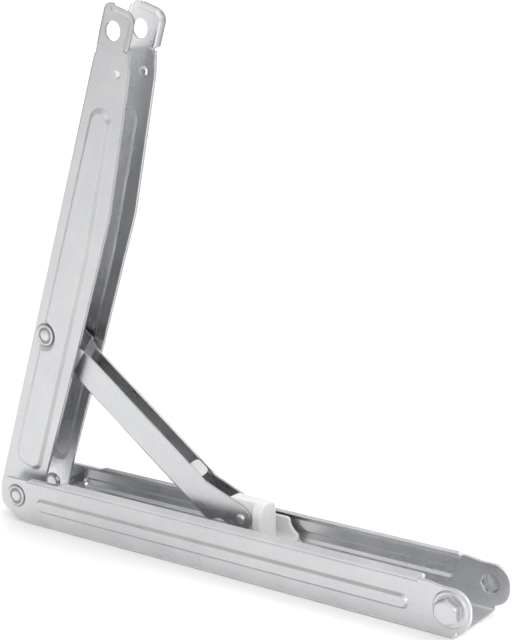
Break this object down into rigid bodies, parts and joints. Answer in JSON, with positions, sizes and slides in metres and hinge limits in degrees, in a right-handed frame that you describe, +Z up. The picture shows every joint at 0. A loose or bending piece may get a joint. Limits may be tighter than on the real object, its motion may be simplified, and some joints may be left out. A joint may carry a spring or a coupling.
{
  "type": "folding support bracket",
  "caption": "Folding steel support bracket: pressed channels hinged at one end, braced by a strut that ends in a white nylon slider.",
  "frame": {"origin": "on the surface that the lower channel stands on, under the middle of the bounding box, in the mid-plane between the side plates", "axes": "+X along the lower channel from the main pivot to its ears, +Y across the channels to the far side, +Z up"},
  "size_m": [0.2599, 0.0426, 0.2395],
  "materials": {
    "zinc_steel": "bright zinc plate",
    "strut_steel": "bright zinc plate",
    "rivet_steel": "zinc-plated, formed heads",
    "white_nylon": "satin white nylon"
  },
  "bodies": {
    "lower": {"lower_channel": "zinc_steel", "pivot_bush_near": "rivet_steel", "pivot_bush_far": "rivet_steel", "pivot_rivet_near": "rivet_steel", "pivot_rivet_far": "rivet_steel"},
    "upper": {"upper_channel": "zinc_steel", "strut_rivet_near": "rivet_steel", "strut_rivet_far": "rivet_steel"},
    "brace": {"strut": "strut_steel", "slider_pin": "rivet_steel"},
    "slider": {"slider_block": "white_nylon"}
  },
  "joints": [
    {"name": "fold", "type": "hinge", "parent": "lower", "child": "upper", "pos_m": [-0.11213, 0, 0.0128], "axis": [0, 1, 0], "range_deg": [0, 68.9]},
    {"name": "strut_turn", "type": "hinge", "parent": "upper", "child": "brace", "pos_m": [-0.09525, 0, 0.09056], "axis": [0, 1, 0], "range_deg": [-100.7, 0]},
    {"name": "slider_turn", "type": "hinge", "parent": "brace", "child": "slider", "pos_m": [0.01063, 0, 0.023], "axis": [0, 1, 0], "range_deg": [0, 31.8]}
  ],
  "couplings": [
    {"joint": "strut_turn", "follows": "fold", "ratio": -1.4587},
    {"joint": "slider_turn", "follows": "fold", "ratio": 0.4587}
  ]
}
